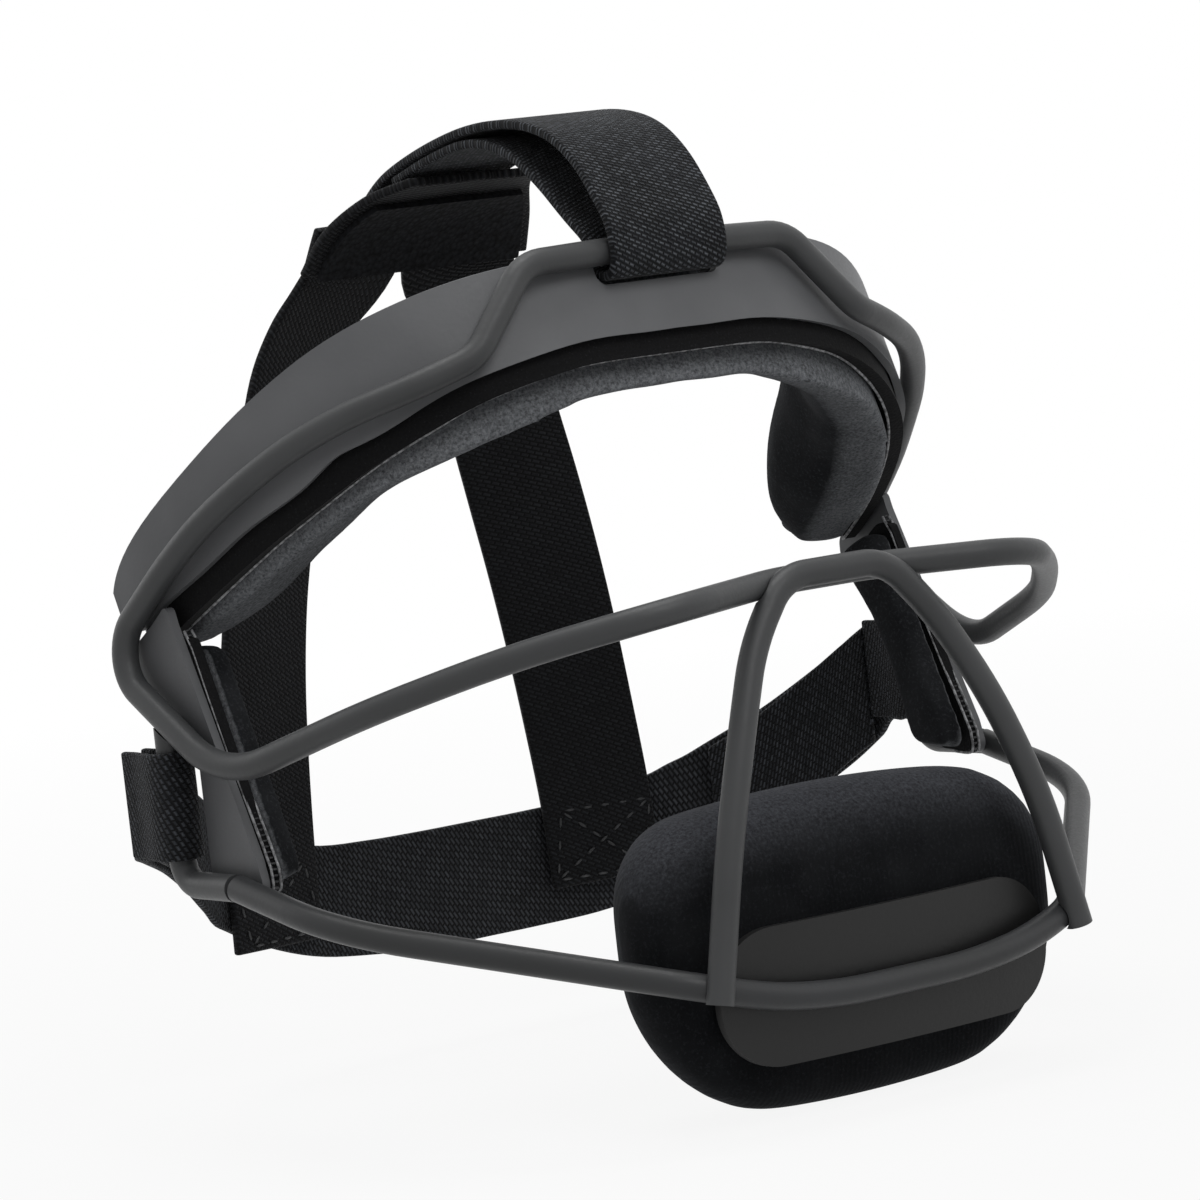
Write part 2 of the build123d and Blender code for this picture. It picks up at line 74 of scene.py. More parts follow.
# Sizes and colours that a user would change
class GuardWeave(bpy.types.PropertyGroup):
    strap_width: bpy.props.FloatProperty(
        name="Strap width", description="Width of the elastic straps", default=0.0254,
        unit="LENGTH")
    strap_thickness: bpy.props.FloatProperty(
        name="Strap thickness", description="Thickness of the elastic straps", default=0.0017,
        unit="LENGTH")
    webbing_width: bpy.props.FloatProperty(
        name="Webbing width", description="Width of the side webbing", default=0.0195,
        unit="LENGTH")
    webbing_thickness: bpy.props.FloatProperty(
        name="Webbing thickness", description="Thickness of the side webbing", default=0.0015,
        unit="LENGTH")
    stitch_length: bpy.props.FloatProperty(
        name="Stitch length", description="Length of one stitch", default=0.0024,
        unit="LENGTH")
    stitch_width: bpy.props.FloatProperty(
        name="Stitch width", description="Thickness of the sewing thread", default=0.0006,
        unit="LENGTH")


class GuardColours(bpy.types.PropertyGroup):
    coat: bpy.props.StringProperty(
        name="Dipped coat", description="sRGB hex of the coat on wires and plates",
        default="414243")
    top_thread: bpy.props.StringProperty(
        name="Top strap thread", description="sRGB hex of the top strap's threads",
        default="3e4146")
    riser_thread: bpy.props.StringProperty(
        name="Riser thread", description="sRGB hex of the risers' threads", default="1a1b1e")
    back_thread: bpy.props.StringProperty(
        name="Back strap thread", description="sRGB hex of the back strap's threads",
        default="3c3e42")
    webbing_thread: bpy.props.StringProperty(
        name="Webbing thread", description="sRGB hex of the webbing's threads",
        default="2c2e32")
    pad: bpy.props.StringProperty(
        name="Pad cloth", description="sRGB hex of the brushed pad cloth", default="1f2022")
    velvet: bpy.props.StringProperty(
        name="Chin pad cloth", description="sRGB hex of the chin pad's cloth",
        default="161719")
    edge: bpy.props.StringProperty(
        name="Pad edge", description="sRGB hex of the pale cut edge of the pads",
        default="b0b1b3")


class GuardStage(bpy.types.PropertyGroup):
    key_power: bpy.props.FloatProperty(
        name="Key light", description="Power of the main soft light", default=8.0,
        unit="POWER")
    fill_power: bpy.props.FloatProperty(
        name="Fill light", description="Power of the fill light", default=1.4,
        unit="POWER")
    top_power: bpy.props.FloatProperty(
        name="Top light", description="Power of the light over the guard", default=13.0,
        unit="POWER")
    sky: bpy.props.FloatProperty(
        name="Sky", description="Strength of the even light all round", default=0.26)
    lens: bpy.props.FloatProperty(
        name="Lens", description="Focal length of the camera in millimetres", default=156.0)


# Colours and nodes
def linear(hex_colour):
    """Linear colour with alpha from an sRGB hex value."""
    parts = [int(hex_colour[i:i + 2], 16) / 255 for i in (0, 2, 4)]
    return [p / 12.92 if p <= 0.04045 else ((p + 0.055) / 1.055) ** 2.4 for p in parts] + [1.0]


def add(tree, kind, sockets=None, **settings):
    """A node with its settings, and its sockets' values, hex colours or links."""
    made = tree.nodes.new("ShaderNode" + kind)
    for name, value in settings.items():
        setattr(made, name, value)
    for name, value in (sockets or {}).items():
        if isinstance(value, bpy.types.NodeSocket):
            tree.links.new(value, made.inputs[name])
        else:
            made.inputs[name].default_value = linear(value) if isinstance(value, str) else value
    return made


def finish_named(name, sockets):
    """A material with its shader, and the object and UV coordinates, both in millimetres."""
    material = bpy.data.materials.new(name)
    material.use_nodes = True
    tree = material.node_tree
    tree.nodes.clear()
    shader = add(tree, "BsdfPrincipled", sockets)
    add(tree, "OutputMaterial", {"Surface": shader.outputs["BSDF"]})
    place = add(tree, "TexCoord")
    scaled = add(
        tree, "Mapping", {"Vector": place.outputs["Object"], "Scale": (1000, 1000, 1000)})
    return material, tree, shader, scaled.outputs["Vector"], place.outputs["UV"]


def mottled(tree, pattern, start, end, low, high):
    """A colour that goes from low to high while a pattern goes from start to end."""
    share = add(tree, "MapRange", {"Value": pattern, "From Min": start, "From Max": end})
    mixed = add(tree, "Mix", {0: share.outputs["Result"], 6: low, 7: high}, data_type="RGBA")
    return mixed.outputs[2]


def dress(tree, shader, colour, *reliefs):
    """Gives a shader its colour and its reliefs, one laid over another. A relief is a pattern,
    its depth in millimetres and its strength."""
    tree.links.new(colour, shader.inputs["Base Color"])
    sockets = {}
    for pattern, depth, strength in reliefs:
        sockets.update({"Height": pattern, "Distance": depth * MM, "Strength": strength})
        sockets["Normal"] = add(tree, "Bump", sockets).outputs["Normal"]
    tree.links.new(sockets["Normal"], shader.inputs["Normal"])


def shifted(hex_colour, share):
    """A hex colour made lighter or darker by a share."""
    parts = [int(hex_colour[i:i + 2], 16) for i in (0, 2, 4)]
    return "".join("%02x" % max(0, min(255, round(p * (1 + share)))) for p in parts)


# Finishes
def dipped_coat(name, hex_colour, roughness):
    """Vinyl dip over steel: an even satin skin with a faint orange peel, a little paler where
    it is thin, which softens every edge and reflection."""
    material, tree, shader, place, _ = finish_named(
        name, {"Roughness": roughness, "Specular IOR Level": 0.32})
    cloud = add(tree, "TexNoise", {"Vector": place, "Scale": 0.035, "Detail": 3.0})
    grain = add(tree, "TexNoise", {"Vector": place, "Scale": 2.2, "Detail": 2.0})
    tone = mottled(tree, cloud.outputs["Fac"], 0.3, 0.7, shifted(hex_colour, -0.07),
                   shifted(hex_colour, 0.09))
    rough = add(tree, "MapRange", {
        "Value": grain.outputs["Fac"], "From Min": 0.3, "From Max": 0.7,
        "To Min": roughness - 0.05, "To Max": roughness + 0.06})
    tree.links.new(rough.outputs["Result"], shader.inputs["Roughness"])
    peel = add(tree, "TexNoise", {"Vector": place, "Scale": 0.9, "Detail": 1.5})
    dress(tree, shader, tone, (peel.outputs["Fac"], 0.10, 0.35),
          (grain.outputs["Fac"], 0.03, 0.25))
    return material


WORN_SHARE = 0.12  # how much of a strap's colour is worn to an even tone


def woven(name, base_hex, thread_hex, bright_hex, length_mm, width_mm, turn, depth_mm,
          gap=0.105):
    """Woven elastic or webbing: raised threads in slanting rows, each a little lighter or
    darker than the next, with dark gaps between them. Real threads are about 0.4 mm. They are
    drawn coarser where the render would lose them."""
    material, tree, shader, place, uv = finish_named(name, {
        "Roughness": 0.72, "Sheen Weight": 0.06, "Sheen Roughness": 0.5,
        "Specular IOR Level": 0.12})
    wobble = add(tree, "TexNoise", {"Vector": uv, "Scale": 0.55, "Detail": 2.0})
    pulled = add(tree, "VectorMath", {0: wobble.outputs["Color"], 1: (0.10, 0.10, 0.0)},
                 operation="MULTIPLY")
    moved = add(tree, "VectorMath", {0: uv, 1: pulled.outputs["Vector"]}, operation="ADD")
    turned = add(tree, "Mapping", {
        "Vector": moved.outputs["Vector"], "Rotation": (0, 0, turn),
        "Scale": (0.5 / length_mm, 0.25 / width_mm, 1.0)})
    weave = add(tree, "TexBrick", {
        "Vector": turned.outputs["Vector"], "Color1": thread_hex, "Color2": bright_hex,
        "Mortar": base_hex, "Scale": 1.0, "Mortar Size": gap, "Mortar Smooth": 0.8,
        "Bias": -0.1, "Brick Width": 0.5, "Row Height": 0.25}, offset=0.5)
    dull = add(tree, "TexNoise", {"Vector": uv, "Scale": 0.09, "Detail": 3.0})
    worn = mottled(tree, dull.outputs["Fac"], 0.35, 0.65, base_hex, thread_hex)
    blended = add(tree, "Mix", {0: WORN_SHARE, 6: weave.outputs["Color"], 7: worn},
                  data_type="RGBA")
    raised = add(tree, "Math", {0: 1.0, 1: weave.outputs["Fac"]}, operation="SUBTRACT")
    hair = add(tree, "TexNoise", {"Vector": place, "Scale": 3.5, "Detail": 4.0})
    dress(tree, shader, blended.outputs[2], (raised.outputs["Value"], depth_mm, 0.9),
          (hair.outputs["Fac"], 0.05, 0.5))
    return material


def brushed_cloth(name, base_hex, light_hex, painted_light_hex, painted_light_side, rib_mm=0.0, nap=0.10,
                  painted_rim_light_share=0.0, sheen=0.10):
    """Brushed knit over foam: short nap in every direction, with pale fibre ends. Light and shade
    are painted in: it is paler on the side that looks up or down, as the side argument says, and
    on faces turned away from the head, which leaves the inner faces darker."""
    material, tree, shader, place, _ = finish_named(name, {
        "Roughness": 0.9, "Sheen Weight": sheen, "Sheen Roughness": 0.45,
        "Sheen Tint": "6d6f73", "Specular IOR Level": 0.08})
    nap_noise = add(tree, "TexNoise", {"Vector": place, "Scale": 1.6, "Detail": 6.0,
                                       "Roughness": 0.75})
    cloud = add(tree, "TexNoise", {"Vector": place, "Scale": 0.11, "Detail": 3.0})
    body = mottled(tree, cloud.outputs["Fac"], 0.32, 0.68, shifted(base_hex, -0.22),
                   shifted(base_hex, 0.25))
    fibres = mottled(tree, nap_noise.outputs["Fac"], 0.52, 0.80, body, light_hex)
    # Painted light and shade: faces that look up or down, by the side argument, and faces turned
    # away from the head are painted paler, and the inner faces are left darker
    looks = add(tree, "NewGeometry")
    height_of = add(tree, "SeparateXYZ", {"Vector": looks.outputs["Normal"]})
    level = add(tree, "VectorMath", {0: place, 1: (1, 1, 0)}, operation="MULTIPLY")
    away = add(tree, "VectorMath", {0: level.outputs["Vector"], 1: HEAD_MIDDLE},
               operation="SUBTRACT")
    outward = add(tree, "VectorMath", {0: away.outputs["Vector"]}, operation="NORMALIZE")
    outside = add(tree, "VectorMath", {0: outward.outputs["Vector"],
                                       1: looks.outputs["Normal"]}, operation="DOT_PRODUCT")
    painted_rim_light = add(tree, "Math", {0: outside.outputs["Value"], 1: painted_rim_light_share},
              operation="MULTIPLY")
    turned = add(tree, "Math", {0: height_of.outputs["Z"], 1: painted_light_side,
                                2: painted_rim_light.outputs["Value"]}, operation="MULTIPLY_ADD")
    # The painted light colour, speckled by the nap
    painted_light_tone = mottled(tree, nap_noise.outputs["Fac"], 0.35, 0.70, shifted(painted_light_hex, -0.35),
                     shifted(painted_light_hex, 0.35))
    tone = mottled(tree, turned.outputs["Value"], 0.15, 0.75, fibres, painted_light_tone)
    reliefs = [(nap_noise.outputs["Fac"], nap, 0.8)]
    if rib_mm:
        # Blender's bands are pi / 10 of a unit apart at a scale of 1
        ribs = add(tree, "TexWave", {
            "Vector": place, "Scale": 0.314 / rib_mm, "Distortion": 1.6, "Detail": 2.0,
            "Detail Scale": 1.5}, wave_type="BANDS", bands_direction="X")
        reliefs.append((ribs.outputs["Fac"], 0.09, 0.45))
    dress(tree, shader, tone, *reliefs)
    return material


def hook_and_loop(name, base_hex, light_hex):
    """Hook and loop tape: a deep matt pile of nylon loops, drawn as tufts 1.1 mm apart."""
    material, tree, shader, place, _ = finish_named(name, {
        "Roughness": 0.85, "Sheen Weight": 0.05, "Specular IOR Level": 0.08})
    tufts = add(tree, "TexVoronoi", {"Vector": place, "Scale": 0.9})
    pile = add(tree, "TexNoise", {"Vector": place, "Scale": 1.2, "Detail": 5.0})
    deep = mottled(tree, tufts.outputs["Distance"], 0.1, 0.7, light_hex, base_hex)
    tone = mottled(tree, pile.outputs["Fac"], 0.45, 0.7, deep, light_hex)
    dress(tree, shader, tone, (tufts.outputs["Distance"], 0.25, 0.7),
          (pile.outputs["Fac"], 0.12, 0.6))
    return material


def backing_cloth(name, base_hex, light_hex):
    """Foam board wrapped in black cloth: its cut edge shows rows of needle marks."""
    material, tree, shader, place, _ = finish_named(name, {
        "Roughness": 0.8, "Sheen Weight": 0.02, "Specular IOR Level": 0.10})
    marks = add(tree, "TexVoronoi", {"Vector": place, "Scale": 1.4, "Randomness": 0.55})
    fine = add(tree, "TexNoise", {"Vector": place, "Scale": 2.6, "Detail": 4.0})
    pricked = mottled(
        tree, marks.outputs["Distance"], 0.15, 0.5, base_hex, shifted(base_hex, 0.35))
    dusty = mottled(tree, fine.outputs["Fac"], 0.6, 0.8, pricked, light_hex)
    dress(tree, shader, dusty, (marks.outputs["Distance"], 0.12, 0.5),
          (fine.outputs["Fac"], 0.06, 0.5))
    return material


def cut_edge(name, base_hex):
    """The pale fused edge of foam laminate, slightly rough, with darker nicks."""
    material, tree, shader, place, _ = finish_named(name, {"Roughness": 0.6})
    nicks = add(tree, "TexNoise", {"Vector": place, "Scale": 1.1, "Detail": 4.0})
    tone = mottled(tree, nicks.outputs["Fac"], 0.38, 0.62, shifted(base_hex, -0.5), base_hex)
    dress(tree, shader, tone, (nicks.outputs["Fac"], 0.08, 0.6))
    return material


def sewing_thread(name, base_hex):
    """Bonded polyester thread, twisted, so that it shines in short slanting strokes, painted into
    its colour as paler and darker bands.
    """
    material, tree, shader, place, _ = finish_named(name, {"Roughness": 0.5})
    twist = add(tree, "TexWave", {"Vector": place, "Scale": 0.9, "Distortion": 0.6},
                wave_type="BANDS", bands_direction="DIAGONAL")
    # Painted highlight: the twist's shine drawn as paler and darker slanting strokes
    tone = mottled(tree, twist.outputs["Fac"], 0.0, 1.0, shifted(base_hex, -0.3),
                   shifted(base_hex, 0.4))
    dress(tree, shader, tone, (twist.outputs["Fac"], 0.05, 0.6))
    return material


finishes = {}


def finish(kind):
    """One material of each kind, made when it is first asked for."""
    if kind in finishes:
        return finishes[kind]
    c = bpy.context.scene.guard_colours
    makers = {
        "wire": lambda: dipped_coat("vinyl_dipped_steel_wire", c.coat, 0.46),
        # The chin wire's coat: the wire coat made darker, painted shade
        "shade_painted_wire": lambda: dipped_coat("dipped_wire_painted_shade", shifted(c.coat, -0.26), 0.42),
        # The brow and side plates' coat: the wire coat made paler, painted light
        "plate": lambda: dipped_coat("dipped_plate_painted_light", shifted(c.coat, 0.52), 0.50),
        # The chin plate's coat: the wire coat made much darker, painted shade
        "chin_plate": lambda: dipped_coat(
            "dipped_chin_plate_painted_shade", shifted(c.coat, -0.68), 0.42),
        "board": lambda: backing_cloth("cloth_wrapped_board", "0d0d0e", "2c2d2f"),
        "patch": lambda: hook_and_loop("hook_and_loop_pile", "0a0a0b", "202124"),
        "coarse": lambda: woven(
            "coarse_twill_elastic", "010102", c.top_thread, "858a91", 1.25, 0.80,
            radians(-19), 0.50, gap=0.135),
        "twill": lambda: woven(
            "fine_twill_elastic", "030304", c.riser_thread, "2a2c2f", 1.9, 0.80,
            radians(-34), 0.26),
        "back": lambda: woven(
            "worn_twill_elastic", "0a0a0b", c.back_thread, "56595e", 1.9, 0.80,
            radians(-34), 0.28),
        "basket": lambda: woven(
            "basket_weave_webbing", "030304", c.webbing_thread, "54575d", 1.1, 0.95,
            radians(14), 0.40),
        # Brow and cheek pads: 6d6f72 is painted light on faces that look down and away from the
        # head
        "brushed": lambda: brushed_cloth(
            "brushed_pad_cloth", c.pad, "46484c", "6d6f72", -0.6, painted_rim_light_share=0.9),
        # Chin pad: 3a3b3f is painted light on faces that look up
        "velvet": lambda: brushed_cloth(
            "ribbed_velour", c.velvet, "303236", "3a3b3f", 1.0, rib_mm=1.1, nap=0.07,
            sheen=0.22),
        "edge": lambda: cut_edge("fused_laminate_edge", c.edge),
        "thread": lambda: sewing_thread("bonded_black_thread", "1c1d1f"),
    }
    finishes[kind] = makers[kind]()
    return finishes[kind]


def coat(piece, kind):
    """Puts a finish on a CAD node or a new piece."""
    if piece.data.materials:
        for index in range(len(piece.data.materials)):
            piece.material_slots[index].link = "OBJECT"
            piece.material_slots[index].material = finish(kind)
    else:
        piece.data.materials.append(finish(kind))


# Runs and meshes
def vec(x, y, z):
    """A point in metres from millimetres."""
    return Vector((x, y, z)) * MM


def heading(run, i):
    """The way that a run goes at one of its points."""
    return (run[min(i + 1, len(run) - 1)] - run[max(i - 1, 0)]).normalized()


def through(points, steps):
    """A smooth run through every point, with the same number of steps in each span."""
    ends = [points[0] * 2 - points[1]] + list(points) + [points[-1] * 2 - points[-2]]
    run = []
    for i in range(1, len(ends) - 2):
        a, b, c, d = ends[i - 1:i + 3]
        for step in range(steps):
            t = step / steps
            run.append(0.5 * (
                2 * b + (c - a) * t + (2 * a - 5 * b + 4 * c - d) * t * t
                + (3 * b - a - 3 * c + d) * t ** 3))
    return run + [points[-1].copy()]


def widths_through(widths, steps):
    """The widths of a run in metres, spread as smoothly as its points."""
    return [p.x for p in through([vec(width, 0, 0) for width in widths], steps)]


def eased(points, steps):
    """A run along the middles of the spans, rounded at each point between them."""
    run = [points[0].copy()]
    for i in range(1, len(points) - 1):
        start = (points[i - 1] + points[i]) / 2
        end = (points[i] + points[i + 1]) / 2
        for step in range(steps + 1):
            t = step / steps
            spot = start * (1 - t) ** 2 + points[i] * 2 * t * (1 - t) + end * t * t
            if (spot - run[-1]).length > 1e-6:
                run.append(spot)
    return run + [points[-1].copy()]


def into_scene(bm, name, kind, smooth=True):
    """A new object from a bmesh, with its finish. A cut board is left flat shaded."""
    mesh = bpy.data.meshes.new(name)
    bm.to_mesh(mesh)
    bm.free()
    if smooth:
        for face in mesh.polygons:
            face.use_smooth = True
    piece = bpy.data.objects.new(name, mesh)
    bpy.context.scene.collection.objects.link(piece)
    coat(piece, kind)
    return piece


def belongs(piece, body, slot_name, *nodes):
    """Puts a piece on the body that it rides on and hides the nodes that it stands for. Its
    slot_name, what it is made of, is not used.
    """
    if nodes:
        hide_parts(*nodes)
    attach(piece, body)
    return piece


FOLD_ACROSS, FOLD_ALONG = 2.2, 28  # how closely a strap's folds follow each other
SELVEDGE = 0.32  # its rounding, as a share of the strap's thickness


def strap(name, kind, centres, sides, faces, widths, thickness, across=10, wave=0.0,
          seed=0.0):
    """A woven strap: a grid laid along a run, given a thickness and rounded selvedges.
    Its UV map is in millimetres, across and along."""
    rows = len(centres) - 1
    bm = bmesh.new()
    bmesh.ops.create_grid(bm, x_segments=across, y_segments=rows, size=0.5, calc_uvs=True)
    layer = bm.loops.layers.uv.verify()
    along = [0.0]
    for before, after in zip(centres, centres[1:]):
        along.append(along[-1] + (after - before).length)
    spots = {}
    for vert in bm.verts:
        spots[vert.index] = (round((vert.co.x + 0.5) * across), round((vert.co.y + 0.5) * rows))
    for face in bm.faces:
        for loop in face.loops:
            i, j = spots[loop.vert.index]
            loop[layer].uv = (
                (i / across - 0.5) * widths[j] / MM, along[j] / MM)
    for vert in bm.verts:
        i, j = spots[vert.index]
        share = i / across - 0.5
        rise = 0.0
        if wave:
            fold = Vector((share * FOLD_ACROSS, along[j] * FOLD_ALONG, seed))
            rise = wave * noise.noise(fold)
        vert.co = (
            centres[j] + sides[j] * (share * widths[j])
            + faces[j] * (thickness / 2 + rise))
    bm.normal_update()
    top = bm.faces[:]
    middle = top[len(top) // 2]
    j = spots[middle.verts[0].index][1]
    if middle.normal.dot(faces[j]) < 0:
        bmesh.ops.reverse_faces(bm, faces=top)
    bmesh.ops.solidify(bm, geom=top, thickness=thickness)
    bmesh.ops.recalc_face_normals(bm, faces=bm.faces)
    piece = into_scene(bm, name, kind)
    round_edge = piece.modifiers.new("selvedge", "BEVEL")
    round_edge.width = thickness * SELVEDGE
    round_edge.segments = 3
    round_edge.limit_method = "ANGLE"
    round_edge.angle_limit = radians(50)
    return piece


def directions(centres, outwards):
    """Side and face directions along a run, from the way that its outer face looks."""
    sides, faces = [], []
    for i, outward in enumerate(outwards):
        step = heading(centres, i)
        side = step.cross(outward).normalized()
        sides.append(side)
        faces.append(side.cross(step).normalized())
    return sides, faces


def wrapped(centres, side):
    """Side and face directions of a strap that turns about a straight line."""
    faces = [heading(centres, i).cross(side).normalized() for i in range(len(centres))]
    return [side] * len(centres), faces


def upright(centres, inward=0.0):
    """Places, side and face directions of a strap that stands on edge along a run."""
    places, sides, faces = [], [], []
    for i, centre in enumerate(centres):
        step = centres[min(i + 1, len(centres) - 1)] - centres[max(i - 1, 0)]
        level = Vector((step.x, step.y, 0)).length
        outward = Vector((step.y, -step.x, 0)).normalized()
        places.append(centre - outward * inward)
        sides.append(Vector((0, 0, step.length / level)))
        faces.append(outward)
    return places, sides, faces


def flipped(points, sign):
    """The same points on the wearer's other side."""
    return [Vector((p.x * sign, p.y, p.z)) for p in points]


def thread_tube(name, kind, points, radius, sides=8):
    """A thin round thread or piping along a run."""
    bm = bmesh.new()
    rings = []
    for i, spot in enumerate(points):
        turn = heading(points, i).to_track_quat("Z", "Y").to_matrix().to_4x4()
        made = bmesh.ops.create_circle(
            bm, segments=sides, radius=radius, matrix=Matrix.Translation(spot) @ turn)
        rings.append(made["verts"])
    for ring, following in zip(rings, rings[1:]):
        edges = [e for v in ring for e in v.link_edges if e.other_vert(v) in ring]
        edges += [e for v in following for e in v.link_edges if e.other_vert(v) in following]
        bmesh.ops.bridge_loops(bm, edges=list(set(edges)))
    for ring in (rings[0], rings[-1]):
        bmesh.ops.contextual_create(bm, geom=ring)
    bmesh.ops.recalc_face_normals(bm, faces=bm.faces)
    return into_scene(bm, name, kind)


def thread_bead(bm, centre, axes, size):
    """A small ball drawn out along three directions, as one thread of a seam."""
    turn = Matrix(axes).transposed().to_4x4()
    bmesh.ops.create_icosphere(
        bm, subdivisions=1, radius=0.5,
        matrix=Matrix.Translation(centre) @ turn @ Matrix.Diagonal((*size, 1)))


STITCH_PITCH = 1.45  # from stitch to stitch, in stitch lengths


def stitches(name, lines):
    """Rows of short stitches. Each line gives its start, its end and its outward direction."""
    sizes = bpy.context.scene.guard_weave
    size = (sizes.stitch_length, sizes.stitch_width, sizes.stitch_width * 0.8)
    bm = bmesh.new()
    for start, end, outward in lines:
        run = end - start
        count = max(2, int(run.length / (sizes.stitch_length * STITCH_PITCH)))
        step = run.normalized()
        axes = (step, outward.cross(step).normalized(), outward.normalized())
        for k in range(count):
            thread_bead(bm, start + run * ((k + 0.5) / count), axes, size)
    return into_scene(bm, name, "thread")


def merged(node):
    """A bmesh of a CAD node with its loose triangles joined."""
    bm = bmesh.new()
    bm.from_mesh(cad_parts[node].data)
    bmesh.ops.remove_doubles(bm, verts=bm.verts, dist=1e-6)
    return bm


CHEEK_LOW, CHEEK_HIGH = -0.1003, -0.0633
CHEEK_FRONT, CHEEK_REAR = 0.0468, 0.0560
# How far the top of a cheek piece goes up, its front goes forward and its rear reaches back, mm
CHEEK_RISE, CHEEK_FORWARD, CHEEK_REACH = 4.1, 4.2, 6.2


def cheek_top(spot):
    """Where a point of a cheek pad goes, so that its top lies along the forehead pad's end."""
    share = max(0.0, min(1.0, (spot.z - CHEEK_LOW) / (CHEEK_HIGH - CHEEK_LOW)))
    rear = max(0.0, min(1.0, (spot.y - CHEEK_FRONT) / (CHEEK_REAR - CHEEK_FRONT)))
    back = CHEEK_REACH * rear - CHEEK_FORWARD
    return spot + Vector((0, share * back, share * CHEEK_RISE)) * MM


def drawn_up(piece):
    """Draws the top of a cheek piece up to the forehead pad."""
    for vert in piece.data.vertices:
        vert.co = cheek_top(vert.co)


# Pads: a copy of the CAD pad's form, remeshed, blown up a little as cloth and smoothed
def padded_copy(node, name, voxel, pressure, cap, shrink):
    """Cloth over foam. The form is taken in a little, swells as cloth, and is capped."""
    bm = merged(node)
    mesh = bpy.data.meshes.new(name)
    bm.to_mesh(mesh)
    bm.free()
    piece = bpy.data.objects.new(name, mesh)
    bpy.context.scene.collection.objects.link(piece)
    bpy.context.view_layer.objects.active = piece
    remesh = piece.modifiers.new("even", "REMESH")
    remesh.mode = "VOXEL"
    remesh.voxel_size = voxel
    remesh.use_smooth_shade = True
    bake_modifiers(piece)
    bm = bmesh.new()
    bm.from_mesh(piece.data)
    bmesh.ops.smooth_vert(
        bm, verts=bm.verts, factor=0.5, use_axis_x=True, use_axis_y=True, use_axis_z=True)
    bm.normal_update()
    for vert in bm.verts:
        vert.co -= vert.normal * shrink
    bm.to_mesh(piece.data)
    bm.free()
    swell(piece, pressure, cap)
    return piece


def bake_modifiers(piece):
    """Applies every modifier of a piece."""
    depsgraph = bpy.context.evaluated_depsgraph_get()
    depsgraph.update()
    made = bpy.data.meshes.new_from_object(piece.evaluated_get(depsgraph))
    piece.modifiers.clear()
    old = piece.data
    piece.data = made
    bpy.data.meshes.remove(old)


def swell(piece, pressure, cap):
    """Runs the cloth for 20 frames with pressure and no gravity, and caps each point's move."""
    before = [v.co.copy() for v in piece.data.vertices]
    cloth = piece.modifiers.new("cloth", "CLOTH")
    cloth.settings.use_pressure = True
    cloth.settings.uniform_pressure_force = pressure
    cloth.settings.effector_weights.gravity = 0
    cloth.settings.quality = 5
    cloth.settings.tension_stiffness = 25
    cloth.settings.compression_stiffness = 25
    cloth.settings.bending_stiffness = 2
    cloth.point_cache.frame_start = 1
    cloth.point_cache.frame_end = 20
    scene = bpy.context.scene
    for number in range(1, 21):
        scene.frame_set(number)
    bake_modifiers(piece)
    scene.frame_set(1)
    for vert, rest in zip(piece.data.vertices, before):
        move = vert.co - rest
        if move.length > cap:
            vert.co = rest + move.normalized() * cap
    bm = bmesh.new()
    bm.from_mesh(piece.data)
    for turn in range(2):
        bmesh.ops.smooth_vert(
            bm, verts=bm.verts, factor=0.5, use_axis_x=True, use_axis_y=True,
            use_axis_z=True)
    bm.to_mesh(piece.data)
    bm.free()


def finish_pad(piece, kind):
    """One subdivision, smooth shading and the pad's cloth."""
    piece.data.materials.clear()
    piece.data.materials.append(finish(kind))
    smoothed = piece.modifiers.new("smooth", "SUBSURF")
    smoothed.levels = 1
    smoothed.render_levels = 1
    bake_modifiers(piece)
    for face in piece.data.polygons:
        face.use_smooth = True


# Brow line, repeated from the model: x, y at wire height, plate bottom and pad bottom
BROW_ROWS = [
    (0.0, 2.7, -15.1, -25.7), (12.0, 2.7, -15.1, -25.9), (21.5, 3.4, -15.5, -26.7),
    (28.4, 4.6, -16.5, -28.2), (40.9, 8.9, -19.4, -31.4), (50.0, 14.4, -23.1, -34.1),
    (60.0, 23.5, -28.6, -37.7), (67.5, 33.0, -34.3, -42.6), (73.3, 43.9, -40.1, -47.8),
    (77.2, 54.6, -45.6, -53.2), (80.2, 65.5, -51.0, -57.9), (82.3, 76.1, -55.9, -61.8),
    (83.1, 82.7, -59.0, -63.8),
]
PLATE_BOTTOM = 2
BROW_LEAN = 0.496 * 111.0 / 131.0  # how far the brow's front leans back as it goes up


def brow_edge(row, inward, drop=0.0):
    """A line at one height of the brow, at a distance behind the plate's face."""
    places = [vec(x, y, 0) for x, y, *rest in BROW_ROWS]
    half = []
    for i, place in enumerate(places):
        step = heading(places, i) if i else Vector((1, 0, 0))
        outward = Vector((step.y, -step.x, 0))
        z = BROW_ROWS[i][row] - drop
        spot = place - outward * inward * MM
        half.append(Vector((spot.x, spot.y + BROW_LEAN * z * MM, z * MM)))
    return [Vector((-p.x, p.y, p.z)) for p in reversed(half[1:])] + half


# Operators
class GUARD_OT_wires(bpy.types.Operator):
    """Coats the ring, chin wire, arch and strap bars"""
    bl_idname = "guard.wires"
    bl_label = "Coat the wires"

    def execute(self, context):
        for name in ["upper_ring_wire", "nose_arch_wire", "left_strap_bar", "right_strap_bar"]:
            coat(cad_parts[name], "wire")
        # The chin wire gets the darker copy of the coat, which is painted shade
        coat(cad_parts["chin_wire"], "shade_painted_wire")
        return {"FINISHED"}


